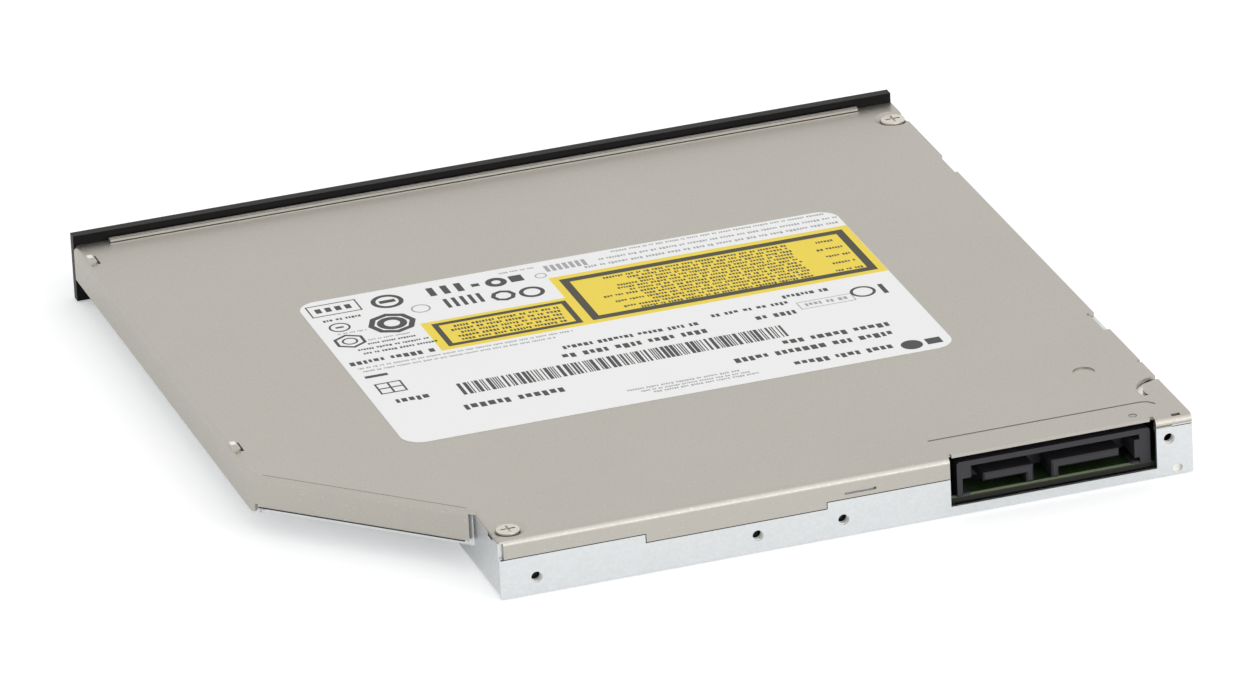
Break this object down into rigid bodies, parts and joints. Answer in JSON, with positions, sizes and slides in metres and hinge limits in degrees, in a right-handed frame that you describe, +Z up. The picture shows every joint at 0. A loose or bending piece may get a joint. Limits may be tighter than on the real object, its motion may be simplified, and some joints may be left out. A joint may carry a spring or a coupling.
{
  "type": "slim internal dvd writer",
  "caption": "Slim tray-loading optical disc writer for a laptop bay: folded steel covers with a chamfered wing, black bezel, sliding tray, keyed host connector.",
  "frame": {"origin": "bottom centre of the drive with its tray shut", "axes": "+Z up out of the labelled top sheet, -Y towards the bezel and the way the tray opens, +Y towards the host connector, +X towards the thin wing"},
  "size_m": [0.128, 0.1262, 0.0105],
  "materials": {
    "sheet_top": "satin zinc-plated sheet",
    "sheet_bottom": "bright zinc-plated sheet",
    "label_stock": "coated paper label with fields of colour",
    "screw_steel": "nickel-plated screw",
    "rail_steel": "stainless strip",
    "post_steel": "turned steel",
    "board_green": "glass-fibre board with solder mask",
    "small_parts": "moulded chips and sockets",
    "connector_plastic": "glass-filled moulding",
    "contact_gold": "gilt",
    "ribbon_film": "film ribbon",
    "tray_plastic": "moulded, fine texture",
    "bezel_plastic": "moulded, satin black",
    "button_plastic": "satin black",
    "led_clear": "clear light guide",
    "tray_plate": "rolled sheet",
    "chassis_steel": "zinc-plated plate",
    "rod_steel": "ground rod",
    "motor_steel": "plated steel",
    "winding": "enamelled copper wire on an iron core",
    "rubber_black": "soft grommet",
    "coil_box": "coil box",
    "turntable": "steel cup with moulded turntable",
    "claw_plastic": "natural acetal",
    "sled_metal": "die casting",
    "lens_frame": "liquid-crystal polymer",
    "lens_clear": "coated lens",
    "lever_plastic": "natural acetal"
  },
  "bodies": {
    "housing": {"top_cover": "sheet_top", "bottom_cover": "sheet_bottom", "label": "label_stock", "cover_screws": "screw_steel", "outer_rail_left": "rail_steel", "outer_rail_right": "rail_steel", "catch_post": "post_steel", "host_board": "board_green", "host_board_parts": "small_parts", "host_board_screws": "screw_steel", "host_connector": "connector_plastic", "connector_contacts": "contact_gold", "ribbon_lower": "ribbon_film"},
    "rail_left": {"middle_rail_left": "rail_steel"},
    "rail_right": {"middle_rail_right": "rail_steel"},
    "tray": {"tray_frame": "tray_plastic", "bezel": "bezel_plastic", "led_window": "led_clear", "switch_board": "board_green", "undercover": "tray_plate", "undercover_screws": "screw_steel", "traverse_chassis": "chassis_steel", "rod_holders": "connector_plastic", "guide_rod_inner": "rod_steel", "guide_rod_outer": "rod_steel", "motor_base": "motor_steel", "stator": "winding", "stepper_motor": "motor_steel", "dampers": "rubber_black", "damper_screws": "screw_steel", "main_board": "board_green", "main_board_chips": "small_parts", "main_board_screws": "screw_steel", "solenoid": "coil_box"},
    "button": {"eject_button": "button_plastic"},
    "spindle": {"rotor": "turntable"},
    "claw_a": {"claw_1": "claw_plastic"},
    "claw_b": {"claw_2": "claw_plastic"},
    "claw_c": {"claw_3": "claw_plastic"},
    "pickup": {"pickup_sled": "sled_metal", "pickup_magnets": "post_steel"},
    "focus": {"lens_holder": "lens_frame", "lens": "lens_clear"},
    "screw": {"lead_screw": "rod_steel"},
    "latch": {"latch_lever": "lever_plastic"},
    "plunger": {"solenoid_plunger": "post_steel"}
  },
  "joints": [
    {"name": "tray_slide", "type": "slide", "parent": "housing", "child": "tray", "axis": [0, -1, 0], "range_m": [0, 0.118]},
    {"name": "rail_left_slide", "type": "slide", "parent": "housing", "child": "rail_left", "axis": [0, -1, 0], "range_m": [0, 0.059]},
    {"name": "rail_right_slide", "type": "slide", "parent": "housing", "child": "rail_right", "axis": [0, -1, 0], "range_m": [0, 0.059]},
    {"name": "eject_press", "type": "slide", "parent": "tray", "child": "button", "axis": [0, 1, 0], "range_m": [0, 0.0006], "stiffness_N_per_m": 300},
    {"name": "spindle_spin", "type": "hinge", "parent": "tray", "child": "spindle", "pos_m": [0, 0.001, 0.005], "axis": [0, 0, 1], "continuous": true},
    {"name": "pickup_slide", "type": "slide", "parent": "tray", "child": "pickup", "axis": [-0.7071, -0.7071, 0], "range_m": [0, 0.032]},
    {"name": "lens_focus", "type": "slide", "parent": "pickup", "child": "focus", "axis": [0, 0, 1], "range_m": [-0.0004, 0.0004], "stiffness_N_per_m": 60},
    {"name": "screw_spin", "type": "hinge", "parent": "tray", "child": "screw", "pos_m": [-0.00495, -0.03365, 0.0034], "axis": [-0.7071, -0.7071, 0], "range_deg": [0, 3841]},
    {"name": "plunger_slide", "type": "slide", "parent": "tray", "child": "plunger", "axis": [0, -1, 0], "range_m": [0, 0.00105]},
    {"name": "latch_turn", "type": "hinge", "parent": "tray", "child": "latch", "pos_m": [0.029, -0.04, 0.0022], "axis": [0, 0, 1], "range_deg": [0, 12.1]},
    {"name": "claw_a_slide", "type": "slide", "parent": "spindle", "child": "claw_a", "axis": [-1, 0, 0], "range_m": [0, 0.0004], "stiffness_N_per_m": 300},
    {"name": "claw_b_slide", "type": "slide", "parent": "spindle", "child": "claw_b", "axis": [0.5, -0.866, 0], "range_m": [0, 0.0004], "stiffness_N_per_m": 300},
    {"name": "claw_c_slide", "type": "slide", "parent": "spindle", "child": "claw_c", "axis": [0.5, 0.866, 0], "range_m": [0, 0.0004], "stiffness_N_per_m": 300}
  ],
  "couplings": [
    {"joint": "rail_left_slide", "follows": "tray_slide", "ratio": 0.5},
    {"joint": "rail_right_slide", "follows": "tray_slide", "ratio": 0.5},
    {"joint": "screw_spin", "follows": "pickup_slide", "rad_per_m": 2094.4},
    {"joint": "latch_turn", "follows": "plunger_slide", "rad_per_m": 200}
  ]
}
